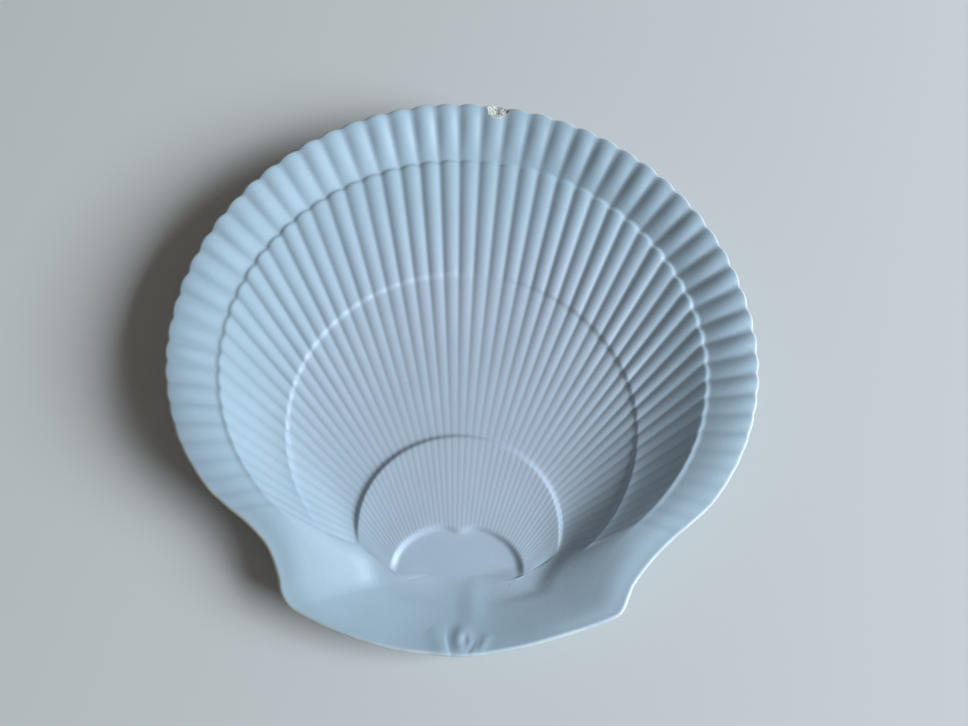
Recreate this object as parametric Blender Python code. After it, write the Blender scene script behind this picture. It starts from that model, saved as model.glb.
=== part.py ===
"""Scallop shell platter, moulded and glazed as one piece of pottery.

The dish is one closed loft. Its sections are rings that run round the fan, through
the smooth hinge and back, from the umbo out to the lip, under the lip and in again
to the foot ring. Metres, +Z up, the hinge towards -Y, standing on its foot at z = 0.
"""

import math

import bmesh
import bpy
import numpy as np
from mathutils import Matrix, Vector

OBJECT_NAME = "shell_platter"

# Outline of the fan: an egg, wider than long, whose lower half is shorter
FAN_HALF_WIDTH = 0.1494
FAN_CENTRE_Y = -0.0001
FAN_REACH_FAR = 0.1447
FAN_REACH_NEAR = 0.1305

# Where the outline leaves the egg, and its points from there round the ear to the
# middle of the hinge, down the right side and down the left
FAN_OUTLINE_END = math.radians(115)
HINGE_RIGHT = (
    (0.1247, -0.0725),
    (0.1148, -0.0823),
    (0.1042, -0.0914),
    (0.0944, -0.1013),
    (0.0858, -0.1124),
    (0.0829, -0.1187),
    (0.0801, -0.1251),
    (0.0746, -0.1293),
    (0.0548, -0.1364),
    (0.0279, -0.1440),
)
HINGE_LEFT = (
    (-0.1226, -0.0739),
    (-0.1120, -0.0831),
    (-0.1008, -0.0914),
    (-0.0911, -0.1014),
    (-0.0852, -0.1140),
    (-0.0835, -0.1208),
    (-0.0799, -0.1268),
    (-0.0741, -0.1307),
    (-0.0547, -0.1386),
    (-0.0276, -0.1455),
)
HINGE_MIDDLE = (0.0000, -0.1477)

# Ribs: valleys lie at whole numbers, counted from the valley nearest the middle
RIBS_LEFT = 26
RIBS_RIGHT = 28
FIRST_VALLEY_ANGLE = math.radians(-3.7)
RIB_PITCH = math.radians(5.27)
RIB_CROWDING = 8.0e-5
RIB_SCALLOP = 0.0011
SAMPLES_PER_RIB = 4
HINGE_STEPS = 20

# Growth lines, each an egg inside the next one out that closes through the hinge.
# Widths are those of the zone outside the line, at the sides and at the far end; a
# shift moves the line's middle to the hinge; the sweep is its share of the rib angle.
RIM_WIDTH_SIDE = 0.0263
RIM_WIDTH_FAR = 0.0315
RIM_SHIFT = 0.0051
RIM_REACH_NEAR = 0.1112
RIM_SWEEP = 1.00
RIM_FROM_HINGE = 0.0102

WALL_WIDTH_SIDE = 0.0345
WALL_WIDTH_FAR = 0.0658
WALL_SHIFT = 0.0293
WELL_REACH_NEAR = 0.0862
WELL_SWEEP = 1.00
WELL_FROM_HINGE = 0.0197

FIELD_WIDTH_SIDE = 0.0368
FIELD_WIDTH_FAR = 0.0876
FIELD_SHIFT = 0.0522
BAND_REACH_NEAR = 0.0450
BAND_SWEEP = 0.78
BAND_FROM_HINGE = 0.0277

BAND_WIDTH_SIDE = 0.0193
BAND_WIDTH_FAR = 0.0455
BAND_SHIFT = 0.0213
UMBO_REACH_NEAR = 0.0225
UMBO_SWEEP = 0.72
UMBO_FROM_HINGE = 0.0352
UMBO_NOTCH = 0.0026
UMBO_NOTCH_WIDTH = 0.0060

# Heights above the table. Where two are given, the first is at the far end of the fan
# and the second at its sides.
FLOOR_HEIGHT = 0.0080
BAND_INNER_HEIGHT = 0.0100
BAND_OUTER_HEIGHT = 0.0108
FIELD_INNER_HEIGHT = 0.0092
FIELD_OUTER_HEIGHT = (0.0147, 0.0176)
FIELD_HOLLOW = (1.15, 1.70)
WELL_STEP_RISE = 0.0009
RIM_STEP_DROP = 0.0007
RIM_RISE = (0.0125, 0.0018)
SIDE_ANGLE = math.radians(140)

# Widths of the steps at the growth lines, and the most of a zone that a step may take
UMBO_STEP = 0.0024
BAND_STEP = 0.0018
WELL_STEP = 0.0018
RIM_STEP = 0.0018
STEP_SHARE = 0.4

# The lip falls gently from the far end, then round the ears down to the hinge
HINGE_LIP_HEIGHT = 0.0200
EAR_RISE = 0.0120
EAR_TOP_Y = -0.0450
EAR_BOTTOM_Y = -0.1350
LIP_SLOPE = 0.0136

# The hinge: a smooth hollow that a flatter margin joins at each end of the fan
HINGE_HOLLOW = 0.45
HINGE_START = 0.5
MARGIN_PROFILE = (
    (0.00, 0.00),
    (0.18, 0.105),
    (0.39, 0.150),
    (0.54, 0.50),
    (0.84, 0.91),
    (1.00, 1.00),
)
MARGIN_BLEND = 0.75
CLOSING_BLEND = 0.45
STEP_BLEND_FAN = math.radians(16)
STEP_BLEND_HINGE = 0.14
STEP_BLEND_END = 0.3

# Rib heights
BAND_RIB = 0.00012
FIELD_RIB = 0.00060
WALL_INNER_RIB = 0.00075
WALL_OUTER_RIB = 0.00120
RIM_RIB = 0.00120
LIP_RIB = 0.00140
RIM_RIB_FADE = (math.radians(80), math.radians(126), 0.10)
WELL_RIB_FADE = (math.radians(100), math.radians(134), 0.35)
BAND_RIB_FADE = (math.radians(100), math.radians(132), 0.0)

# Body of the ware
WALL_THICKNESS = 0.0045
LIP_RADIUS = 0.0019

# Foot ring, an oval of unglazed clay ground flat
FOOT_CENTRE_Y = -0.0360
FOOT_HALF_WIDTH = 0.0640
FOOT_HALF_LENGTH = 0.0820
FOOT_FACE_WIDTH = 0.0050
FOOT_DRAFT = 0.0015

# Relief at the hinge: a bud between two leaves, and a low ridge that points at it
LEAF_MIDDLES = ((-0.0066, -0.1406), (0.0127, -0.1414))
LEAF_LENGTHS = (0.0130, 0.0112)
LEAF_WIDTH = 0.0046
LEAF_RISE = 0.0012
LEAF_LEAN = math.radians(36)
BUD_CENTRE = (0.0034, -0.1402)
BUD_SIZE = (0.0040, 0.0052, 0.0012)
DIMPLE_CENTRE = (0.0040, -0.1394)
DIMPLE_SIZE = (0.0017, 0.0023, 0.0010)
RIDGE_ENDS = ((0.0060, -0.1110), (0.0062, -0.1335))
RIDGE_WIDTH = 0.0096
RIDGE_RISE = 0.0006

# Chip knocked out of the far lip, on the second rib to the right of the middle valley
CHIP_PLACE = (0.0118, 0.1444)
CHIP_SIZE = (0.0062, 0.0056, 0.0026)
CHIP_ROUGHNESS = 0.16

GLAZE_COLOUR = (0.41, 0.51, 0.61, 1.0)
GLAZE_ROUGHNESS = 0.40

# Stations across the dish: whole numbers are the growth lines and the lip
UMBO, BAND, WELL, RIM, LIP = 1, 2, 3, 4, 5
BAND_STATIONS = (1.5,)
FIELD_STATIONS = (2.4, 2.75)
WALL_STATIONS = (3.5, 3.8)
RIM_STATIONS = (4.5, 4.8)
UNDER_STATIONS = (4.55, 4.05, 3.5)


def smooth_step(values, start, end):
    """Rise from 0 to 1 between start and end, level at both."""
    part = np.clip((values - start) / (end - start), 0.0, 1.0)
    return part * part * (3.0 - 2.0 * part)


def rib_angle(number):
    """Angle of a place among the ribs, measured from the far end of the fan."""
    crowding = 1.0 - RIB_CROWDING * number * number
    return FIRST_VALLEY_ANGLE + RIB_PITCH * number * crowding


def faded(fade, angle):
    """Share of its full height that a rib keeps at an angle of the fan."""
    start, end, least = fade
    return 1.0 - (1.0 - least) * smooth_step(np.abs(angle), start, end)


class Spokes:
    """The places round a ring where every section has its points."""

    def __init__(self, samples_per_rib, hinge_steps):
        rib_count = RIBS_LEFT + RIBS_RIGHT
        number = np.arange(rib_count * samples_per_rib + 1) / samples_per_rib - RIBS_LEFT
        hinge = np.arange(1, 2 * hinge_steps) / (2 * hinge_steps)
        right, left = rib_angle(RIBS_RIGHT), rib_angle(-RIBS_LEFT)
        self.fan_count = len(number)
        self.count = len(number) + len(hinge)
        self.hinge = np.concatenate([np.zeros(self.fan_count), hinge])
        self.angle = np.concatenate([rib_angle(number), np.where(hinge < 0.5, right, left)])
        phase = number - np.floor(number)
        self.rib = np.concatenate([4.0 * phase * (1.0 - phase), np.zeros(len(hinge))])
        self.from_end = np.minimum(self.hinge, 1.0 - self.hinge) * 2.0
        before_end = np.minimum(right - self.angle, self.angle - left)
        near_end = self.from_end / STEP_BLEND_HINGE - before_end / STEP_BLEND_FAN
        self.past_steps = smooth_step(near_end, -1.0, STEP_BLEND_END)
        self.past_margin = smooth_step(self.from_end, 0.0, MARGIN_BLEND)

    def every_second(self, ring):
        return ring[::2]


def egg(centre_y, half_width, far, near, angle):
    """Points of an egg: its upper half reaches far, its lower half reaches near."""
    reach = np.where(np.cos(angle) > 0.0, far, near)
    return np.stack([half_width * np.sin(angle), centre_y + reach * np.cos(angle)], axis=-1)


def smooth_curve(points, steps=12):
    """A Catmull-Rom curve through the points."""
    points = np.asarray(points)
    padded = np.vstack([2 * points[0] - points[1], points, 2 * points[-1] - points[-2]])
    place = np.arange((len(points) - 1) * steps + 1) / steps
    start = np.minimum(place.astype(int), len(points) - 2)
    part = (place - start)[:, None]
    a, b, c, d = (padded[start + step] for step in range(4))
    return 0.5 * (
        2 * b + (c - a) * part + (2 * a - 5 * b + 4 * c - d) * part**2
        + (3 * b - a - 3 * c + d) * part**3
    )


def lengths_along(curve):
    """Distance of each point of a curve from its start, along it."""
    return np.concatenate([[0.0], np.cumsum(np.linalg.norm(np.diff(curve, axis=0), axis=1))])


def points_along(curve, distance):
    """Points of a curve at distances from its start."""
    length = lengths_along(curve)
    return np.column_stack([np.interp(distance, length, curve[:, axis]) for axis in (0, 1)])


def inset(ring, distance):
    """Move every point of a closed ring inwards, square to the ring."""
    along = np.roll(ring, -1, axis=0) - np.roll(ring, 1, axis=0)
    along /= np.linalg.norm(along, axis=1)[:, None]
    inwards = np.stack([along[:, 1], -along[:, 0]], axis=-1)
    return ring + inwards * np.reshape(distance, (-1, 1))


def outline(spokes):
    """The edge of the platter: scalloped round the fan, plain round the hinge."""
    ring = egg(FAN_CENTRE_Y, FAN_HALF_WIDTH, FAN_REACH_FAR, FAN_REACH_NEAR, spokes.angle)
    speed = math.hypot(FAN_HALF_WIDTH * math.cos(FAN_OUTLINE_END),
                       FAN_REACH_NEAR * math.sin(FAN_OUTLINE_END))
    on_hinge = spokes.hinge > 0.0
    for side, points in ((1.0, HINGE_RIGHT), (-1.0, HINGE_LEFT)):
        bend = np.array([FAN_OUTLINE_END - 1.5 * RIB_PITCH, FAN_OUTLINE_END])
        start = egg(FAN_CENTRE_Y, side * FAN_HALF_WIDTH, FAN_REACH_FAR, FAN_REACH_NEAR, bend)
        beyond_middle = (-points[-1][0], points[-1][1])
        run = smooth_curve(np.vstack([start, points, HINGE_MIDDLE, beyond_middle]))[12:-12]
        past = np.abs(spokes.angle) - FAN_OUTLINE_END
        here = spokes.angle * side > 0.0
        fan = here & ~on_hinge & (past > 0.0)
        hinge = here & on_hinge
        ring[fan] = points_along(run, past[fan] * speed)
        share = np.minimum(spokes.hinge, 1.0 - spokes.hinge)[hinge] * 2.0
        fan_end = past[hinge] * speed
        ring[hinge] = points_along(run, fan_end + (lengths_along(run)[-1] - fan_end) * share)
    bulge = RIB_SCALLOP * spokes.rib * faded(RIM_RIB_FADE, spokes.angle)
    return inset(ring, -bulge)


def growth_line(spokes, lip, centre, half_width, centre_y, far, near, sweep, from_hinge):
    """A growth line: an egg round the fan, closed along the spokes of the hinge."""
    ring = egg(centre_y, half_width, far, near, spokes.angle * sweep)
    middle_share = 1.0 - from_hinge / (centre[1] - HINGE_MIDDLE[1])
    for end, side in ((spokes.fan_count - 1, 1.0), (0, -1.0)):
        to_lip = lip[end] - centre
        end_share = np.dot(ring[end] - centre, to_lip) / np.dot(to_lip, to_lip)
        aside = ring[end] - centre - to_lip * end_share
        here = (spokes.hinge > 0.0) & (spokes.angle * side > 0.0)
        past = spokes.from_end[here]
        share = end_share + (middle_share - end_share) * smooth_step(past, 0.0, 1.0)
        aside = aside * (1.0 - smooth_step(past, 0.0, CLOSING_BLEND))[:, None]
        ring[here] = centre + (lip[here] - centre) * share[:, None] + aside
    return ring


def key_rings(spokes):
    """The edge, and the rings at the whole-number stations from the umbo to the lip."""
    edge = outline(spokes)
    lip = inset(edge, LIP_RADIUS)
    lines = (
        (RIM_WIDTH_SIDE, RIM_WIDTH_FAR, RIM_SHIFT, RIM_REACH_NEAR, RIM_SWEEP, RIM_FROM_HINGE),
        (WALL_WIDTH_SIDE, WALL_WIDTH_FAR, WALL_SHIFT, WELL_REACH_NEAR, WELL_SWEEP, WELL_FROM_HINGE),
        (FIELD_WIDTH_SIDE, FIELD_WIDTH_FAR, FIELD_SHIFT, BAND_REACH_NEAR, BAND_SWEEP, BAND_FROM_HINGE),
        (BAND_WIDTH_SIDE, BAND_WIDTH_FAR, BAND_SHIFT, UMBO_REACH_NEAR, UMBO_SWEEP, UMBO_FROM_HINGE),
    )
    centre = np.array([0.0, FAN_CENTRE_Y - sum(line[2] for line in lines)])
    half_width, centre_y, top = FAN_HALF_WIDTH, FAN_CENTRE_Y, FAN_CENTRE_Y + FAN_REACH_FAR
    rings = [lip]
    for side, far, shift, near, sweep, from_hinge in lines:
        half_width -= side
        centre_y -= shift
        top -= far
        rings.append(growth_line(spokes, lip, centre, half_width, centre_y, top - centre_y,
                                 near, sweep, from_hinge))
    rings[1] = inset(rings[1], -RIB_SCALLOP * spokes.rib * faded(RIM_RIB_FADE, spokes.angle))
    umbo = rings[-1]
    notch = UMBO_NOTCH * np.exp(-(umbo[:, 0] / UMBO_NOTCH_WIDTH) ** 2)
    umbo[:, 1] -= notch * (umbo[:, 1] > centre_y)
    rings.append(np.tile(centre, (spokes.count, 1)))
    return edge, np.array(rings[::-1])


def lip_height(y):
    """Height of the lip over the table at a distance along the platter."""
    ears = EAR_RISE * smooth_step(y, EAR_BOTTOM_Y, EAR_TOP_Y)
    return HINGE_LIP_HEIGHT + ears + LIP_SLOPE * (y - HINGE_MIDDLE[1])


class Dish:
    """Height and plan of the upper face at any station of any spoke."""

    def __init__(self, spokes):
        self.spokes = spokes
        self.edge, self.keys = key_rings(spokes)
        self.gap = np.linalg.norm(np.diff(self.keys, axis=0), axis=2)
        self.lip = lip_height(self.edge[:, 1])
        turn = np.minimum(np.abs(spokes.angle) / SIDE_ANGLE, 1.0) * math.pi
        self.side = 0.5 - 0.5 * np.cos(turn)
        self.field_hollow = self.between(FIELD_HOLLOW)
        level = np.ones(spokes.count)
        rim_fade = faded(RIM_RIB_FADE, spokes.angle)
        well_fade = faded(WELL_RIB_FADE, spokes.angle)
        band_rib = BAND_RIB * faded(BAND_RIB_FADE, spokes.angle)
        field_outer = self.between(FIELD_OUTER_HEIGHT)
        rim_inner = self.lip - self.between(RIM_RISE)
        floor = FLOOR_HEIGHT * level
        # Each knot of the section: its station, the height there, and the rib on it
        self.knots = (
            (0.0 * level, floor, 0.0 * level),
            (self.beside(UMBO, -UMBO_STEP), floor, 0.0 * level),
            (UMBO * level, BAND_INNER_HEIGHT * level, band_rib),
            (self.beside(BAND, -BAND_STEP), BAND_OUTER_HEIGHT * level, band_rib),
            (BAND * level, FIELD_INNER_HEIGHT * level, band_rib),
            (WELL * level, field_outer, FIELD_RIB * well_fade),
            (self.beside(WELL, WELL_STEP), field_outer + WELL_STEP_RISE, WALL_INNER_RIB * well_fade),
            (RIM * level, rim_inner + RIM_STEP_DROP, WALL_OUTER_RIB * well_fade),
            (self.beside(RIM, RIM_STEP), rim_inner, RIM_RIB * rim_fade),
            (LIP * level, self.lip, LIP_RIB * rim_fade),
        )

    def between(self, pair):
        """A value that goes from the far end's to the sides' round the fan."""
        return pair[0] + (pair[1] - pair[0]) * self.side

    def beside(self, line, offset):
        """Stations at a distance outside a growth line, or inside it if below zero."""
        gap = self.gap[line] if offset > 0.0 else self.gap[line - 1]
        return line + np.clip(offset / gap, -STEP_SHARE, STEP_SHARE)

    def plan(self, station):
        """Plan of a ring; the station may differ from spoke to spoke."""
        station = np.broadcast_to(station, self.spokes.count)
        low = np.minimum(station.astype(int), len(self.keys) - 2)
        part = (station - low)[:, None]
        spoke = np.arange(self.spokes.count)
        return self.keys[low, spoke] * (1.0 - part) + self.keys[low + 1, spoke] * part

    def fan_height(self, station):
        """Height of the ribbed fan with its growth steps."""
        fan = np.zeros(self.spokes.count)
        for (low, low_height, low_rib), (high, high_height, high_rib) in zip(self.knots, self.knots[1:]):
            part = np.clip((station - low) / (high - low), 0.0, 1.0)
            part = part ** np.where(low == BAND, self.field_hollow, 1.0)
            height = low_height + (high_height - low_height) * part
            rib = low_rib + (high_rib - low_rib) * part
            here = (station >= low) & (station <= high + 1e-9)
            fan = np.where(here, height + rib * self.spokes.rib, fan)
        return fan

    def hinge_height(self, station):
        """Height of the smooth hinge, hollow in the middle and flatter by the fan."""
        start = self.keys[0] + (self.keys[1] - self.keys[0]) * HINGE_START
        along = np.linalg.norm(self.plan(station) - start, axis=1)
        reach = np.linalg.norm(self.keys[-1] - start, axis=1)
        part = np.where(station > HINGE_START, np.clip(along / reach, 0.0, 1.0), 0.0)
        margin = np.interp(part, *smooth_curve(MARGIN_PROFILE).T)
        depth = math.hypot(1.0, HINGE_HOLLOW) - HINGE_HOLLOW
        hollow = (np.hypot(part, HINGE_HOLLOW) - HINGE_HOLLOW) / depth
        share = margin + (hollow - margin) * self.spokes.past_margin
        return FLOOR_HEIGHT + (self.lip - FLOOR_HEIGHT) * share

    def height(self, station):
        """Height of the upper face, ribs and growth steps included."""
        station = np.broadcast_to(station, self.spokes.count)
        fan = self.fan_height(station)
        return fan + (self.hinge_height(station) - fan) * self.spokes.past_steps

    def ring(self, station):
        return np.column_stack([self.plan(station), self.height(station)])

    def station_on_oval(self, half_width, half_length):
        """Station at which each spoke crosses an oval centred on the foot."""
        low = np.zeros(self.spokes.count)
        high = np.full(self.spokes.count, float(LIP))
        for _ in range(40):
            middle = (low + high) / 2.0
            x, y = self.plan(middle).T
            outside = (x / half_width) ** 2 + ((y - FOOT_CENTRE_Y) / half_length) ** 2 > 1.0
            high = np.where(outside, middle, high)
            low = np.where(outside, low, middle)
        return (low + high) / 2.0


def upper_sections(dish):
    """Rings of the upper face, from the umbo out to the crest of the lip."""
    stations = [dish.beside(UMBO, -UMBO_STEP), UMBO, *BAND_STATIONS]
    stations += [dish.beside(BAND, -BAND_STEP), BAND, *FIELD_STATIONS]
    stations += [WELL, dish.beside(WELL, WELL_STEP), *WALL_STATIONS]
    stations += [RIM, dish.beside(RIM, RIM_STEP), *RIM_STATIONS, LIP]
    return [dish.ring(station) for station in stations]


def lip_sections(dish):
    """The widest ring of the rolled lip and the ring where it meets the underside."""
    crest = dish.height(LIP)
    widest = np.column_stack([dish.edge, crest - WALL_THICKNESS / 2.0])
    below = np.column_stack([inset(dish.edge, LIP_RADIUS), crest - WALL_THICKNESS])
    return [widest, below]


def under_sections(dish):
    """Rings of the underside from the lip to the foot ring and inside it."""
    sections = [lowered(dish.ring(station)) for station in UNDER_STATIONS]
    half_face = FOOT_FACE_WIDTH / 2.0
    for grow, on_table in ((half_face + FOOT_DRAFT, False), (half_face, True),
                           (-half_face, True), (-half_face - FOOT_DRAFT, False)):
        station = dish.station_on_oval(FOOT_HALF_WIDTH + grow, FOOT_HALF_LENGTH + grow)
        ring = lowered(dish.ring(station))
        if on_table:
            ring[:, 2] = 0.0
        sections.append(ring)
    inner = lowered(dish.ring(station / 2.0))
    inner[:, 2] = FLOOR_HEIGHT - WALL_THICKNESS
    sections.append(inner)
    return [dish.spokes.every_second(ring) for ring in sections]


def lowered(ring):
    return ring - [0.0, 0.0, WALL_THICKNESS]


def bridge(bm, outer, inner):
    """Join two closed rings; the inner one may have half as many points."""
    ratio = len(outer) // len(inner)
    for index in range(len(inner)):
        after = (index + 1) % len(inner)
        run = [outer[(index * ratio + step) % len(outer)] for step in range(ratio + 1)]
        if ratio == 1:
            bm.faces.new((run[0], run[1], inner[after], inner[index]))
            continue
        bm.faces.new((run[0], run[1], inner[index]))
        bm.faces.new((run[1], inner[after], inner[index]))
        bm.faces.new((run[1], run[2], inner[after]))


def loft(name, sections, first_point, last_point):
    """A closed solid through a chain of rings, ending in a point at each end."""
    bm = bmesh.new()
    rings = [[bm.verts.new(point) for point in ring] for ring in sections]
    for ring, next_ring in zip(rings, rings[1:]):
        bridge(bm, ring, next_ring)
    for ring, point in ((rings[0], first_point), (rings[-1], last_point)):
        tip = bm.verts.new(point)
        for vert, after in zip(ring, ring[1:] + ring[:1]):
            bm.faces.new((vert, after, tip))
    bmesh.ops.recalc_face_normals(bm, faces=bm.faces)
    return mesh_object(name, bm)


def mesh_object(name, bm):
    mesh = bpy.data.meshes.new(name)
    bm.to_mesh(mesh)
    bm.free()
    return bpy.data.objects.new(name, mesh)


def hinge_surface(dish, y):
    """Height of the hinge near its middle, and its slope towards the lip."""
    middle = dish.spokes.fan_count + (dish.spokes.count - dish.spokes.fan_count) // 2
    profile = np.array([dish.ring(station)[middle] for station in np.linspace(UMBO, LIP, 60)])
    order = np.argsort(profile[:, 1])
    step = 0.001
    low, here, high = np.interp([y - step, y, y + step], profile[order, 1], profile[order, 2])
    return here, math.atan((high - low) / (2.0 * step))


def relief(dish, name, place, turn, size, lift=0.0):
    """A low rounded lump, half sunk in the hinge and laid on its slope."""
    height, slope = hinge_surface(dish, place[1])
    height += lift
    bm = bmesh.new()
    bmesh.ops.create_uvsphere(bm, u_segments=12, v_segments=8, radius=1.0)
    lay = Matrix.Translation((place[0], place[1], height)) @ Matrix.Rotation(slope, 4, "X")
    shape = Matrix.Rotation(turn, 4, "Z") @ Matrix.Diagonal((*size, 1.0))
    bmesh.ops.transform(bm, matrix=lay @ shape, verts=bm.verts)
    return mesh_object(name, bm)


def sprig(dish):
    """Two leaves that lean apart, and the bud between them."""
    pieces = []
    for side, middle, length in zip((-1.0, 1.0), LEAF_MIDDLES, LEAF_LENGTHS):
        size = (LEAF_WIDTH / 2.0, length / 2.0, LEAF_RISE)
        pieces.append(relief(dish, "leaf_tool", middle, -side * LEAF_LEAN, size))
    pieces.append(relief(dish, "bud_tool", BUD_CENTRE, 0.0, BUD_SIZE))
    return pieces


def ridge(dish):
    """The low ridge that runs down the hinge towards the bud."""
    start, end = (Vector(point) for point in RIDGE_ENDS)
    along = end - start
    size = (RIDGE_WIDTH / 2.0, along.length / 2.0, RIDGE_RISE)
    return relief(dish, "ridge_tool", (start + end) / 2.0, math.atan2(-along.x, along.y), size)


def chip(dish):
    """A rough lump that bites into the lip where the chip is."""
    nearest = np.argmin(np.linalg.norm(dish.edge - CHIP_PLACE, axis=1))
    height = dish.height(LIP)[nearest]
    bm = bmesh.new()
    bmesh.ops.create_icosphere(bm, subdivisions=2, radius=1.0)
    for vert in bm.verts:
        x, y, z = vert.co
        wobble = math.sin(7.0 * x + 3.0 * z) + math.sin(9.0 * y - 5.0 * x) + math.sin(11.0 * z + 4.0 * y)
        vert.co *= 1.0 + CHIP_ROUGHNESS * wobble / 3.0
    place = Matrix.Translation((*CHIP_PLACE, height + CHIP_SIZE[2] * 0.2))
    bmesh.ops.transform(bm, matrix=place @ Matrix.Diagonal((*CHIP_SIZE, 1.0)), verts=bm.verts)
    return mesh_object("chip_tool", bm)


def glaze():
    material = bpy.data.materials.new("pale_blue_glaze")
    material.use_nodes = True
    shader = material.node_tree.nodes["Principled BSDF"]
    shader.inputs["Base Color"].default_value = GLAZE_COLOUR
    shader.inputs["Roughness"].default_value = GLAZE_ROUGHNESS
    shader.inputs["Metallic"].default_value = 0.0
    return material


def centring(body):
    """The move that centres the mesh over the origin and stands it on z = 0."""
    corners = np.array([vert.co for vert in body.data.vertices])
    low, high = corners.min(axis=0), corners.max(axis=0)
    middle = (low + high) / 2.0
    return Matrix.Translation((-middle[0], -middle[1], -low[2]))


def add_boolean(body, tool, operation):
    modifier = body.modifiers.new(tool.name, "BOOLEAN")
    modifier.operation = operation
    modifier.solver = "EXACT"
    modifier.object = tool


def build():
    for old in list(bpy.data.objects):
        bpy.data.objects.remove(old)
    parts = bpy.data.collections.new(OBJECT_NAME + "_parts")
    cutters = bpy.data.collections.new(OBJECT_NAME + "_cutters")
    for collection in (parts, cutters):
        bpy.context.scene.collection.children.link(collection)

    dish = Dish(Spokes(SAMPLES_PER_RIB, HINGE_STEPS))
    sections = upper_sections(dish) + lip_sections(dish) + under_sections(dish)
    middle = (*dish.keys[0][0], FLOOR_HEIGHT)
    under_middle = (*dish.keys[0][0], FLOOR_HEIGHT - WALL_THICKNESS)
    body = loft(OBJECT_NAME, sections, middle, under_middle)
    body.data.materials.append(glaze())
    parts.objects.link(body)

    move = centring(body)
    body.data.transform(move)
    tools = [(tool, "UNION") for tool in sprig(dish) + [ridge(dish)]]
    dimple = relief(dish, "dimple_tool", DIMPLE_CENTRE, 0.0, DIMPLE_SIZE, lift=BUD_SIZE[2])
    tools.append((dimple, "DIFFERENCE"))
    tools.append((chip(dish), "DIFFERENCE"))
    for tool, operation in tools:
        tool.data.transform(move)
        tool.hide_render = True
        tool.display_type = "WIRE"
        cutters.objects.link(tool)
        add_boolean(body, tool, operation)
    body.data.shade_smooth()
    body.data.set_sharp_from_angle(angle=math.radians(40))


build()
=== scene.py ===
import math

import bmesh
import bpy
import numpy as np
from mathutils import Matrix, Vector, noise


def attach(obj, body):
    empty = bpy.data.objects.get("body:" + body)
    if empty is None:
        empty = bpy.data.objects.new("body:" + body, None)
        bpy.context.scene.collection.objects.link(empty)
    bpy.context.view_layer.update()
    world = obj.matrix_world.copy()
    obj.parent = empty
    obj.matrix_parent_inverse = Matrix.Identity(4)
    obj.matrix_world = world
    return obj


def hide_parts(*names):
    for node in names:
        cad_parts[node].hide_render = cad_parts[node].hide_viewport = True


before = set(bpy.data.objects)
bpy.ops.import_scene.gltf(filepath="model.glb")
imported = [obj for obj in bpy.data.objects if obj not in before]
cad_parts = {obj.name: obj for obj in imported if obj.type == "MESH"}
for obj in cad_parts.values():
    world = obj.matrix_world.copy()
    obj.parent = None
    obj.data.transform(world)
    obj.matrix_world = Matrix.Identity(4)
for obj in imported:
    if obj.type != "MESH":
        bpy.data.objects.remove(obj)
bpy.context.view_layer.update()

NODE = "shell_platter"

# Outline of the fan
FAN_HALF_WIDTH = 0.1498
FAN_CENTRE_Y = -0.0001
FAN_REACH_FAR = 0.1444
FAN_REACH_NEAR = 0.1305

# Where the outline leaves the egg of the fan, and its points from there to the middle of
# the hinge, down the right side and down the left. The curve through them starts a little
# before that, and has this many steps from point to point
FAN_OUTLINE_END = math.radians(115)
HINGE_RIGHT = (
    (0.1247, -0.0725),
    (0.1148, -0.0823),
    (0.1042, -0.0914),
    (0.0944, -0.1013),
    (0.0858, -0.1124),
    (0.0829, -0.1187),
    (0.0801, -0.1251),
    (0.0746, -0.1293),
    (0.0548, -0.1364),
    (0.0279, -0.1440),
)
HINGE_LEFT = (
    (-0.1226, -0.0739),
    (-0.1120, -0.0831),
    (-0.1008, -0.0914),
    (-0.0911, -0.1014),
    (-0.0852, -0.1140),
    (-0.0835, -0.1208),
    (-0.0799, -0.1268),
    (-0.0741, -0.1307),
    (-0.0547, -0.1386),
    (-0.0276, -0.1455),
)
HINGE_MIDDLE = (0.0000, -0.1477)
CURVE_LEAD = math.radians(9)
CURVE_STEPS = 24

# Ribs
RIBS_LEFT = 26
RIBS_RIGHT = 28
FIRST_VALLEY_ANGLE = math.radians(-3.7)
RIB_PITCH = math.radians(5.27)
RIB_CROWDING = 8.0e-5
RIB_SCALLOP = 0.0006
VALLEY_ROUNDING = 0.16

# Spokes: how many each rib and each half of the hinge has, and how far those of the hinge
# crowd together at its middle
SAMPLES_PER_RIB = 10
HINGE_STEPS = 108
HINGE_CROWDING = 0.70

# Growth lines: (half width, centre y, far reach, near reach, sweep, closing y)
RIM_LINE = (0.1231, -0.0052, 0.1183, 0.1112, 1.00, -0.1375)
WELL_LINE = (0.0886, -0.0345, 0.0818, 0.0862, 1.00, -0.1280)
BAND_LINE = (0.0518, -0.0867, 0.0464, 0.0450, 0.78, -0.1200)
UMBO_LINE = (0.0325, -0.1080, 0.0222, 0.0225, 0.72, -0.1125)
CLOSING_BLEND = 0.45
UMBO_NOTCH = 0.0026
UMBO_NOTCH_WIDTH = 0.0060

# Heights above the table, (far end, side)
FLOOR_HEIGHT = 0.0080
BAND_INNER_HEIGHT = 0.0100
BAND_OUTER_HEIGHT = 0.0113
FIELD_INNER_HEIGHT = 0.0092
FIELD_HOLLOW = (1.15, 1.70)
FIELD_END_FADE = (math.radians(106), math.radians(134), 0.0)
FIELD_END_LIFT = 0.0012
FIELD_END_HOLLOW = 1.2
BAND_HOLLOW = 2.2
WALL_HOLLOW = (1.0, 1.35)
FIELD_OUTER_HEIGHT = (0.0147, 0.0176)
WELL_STEP_RISE = (0.0009, 0.0013)
RIM_STEP_DROP = 0.0007
RIM_RISE = (0.0125, 0.0018)
RIM_BULGE = (0.0, 0.0012)
SIDE_ANGLE = math.radians(140)

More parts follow.
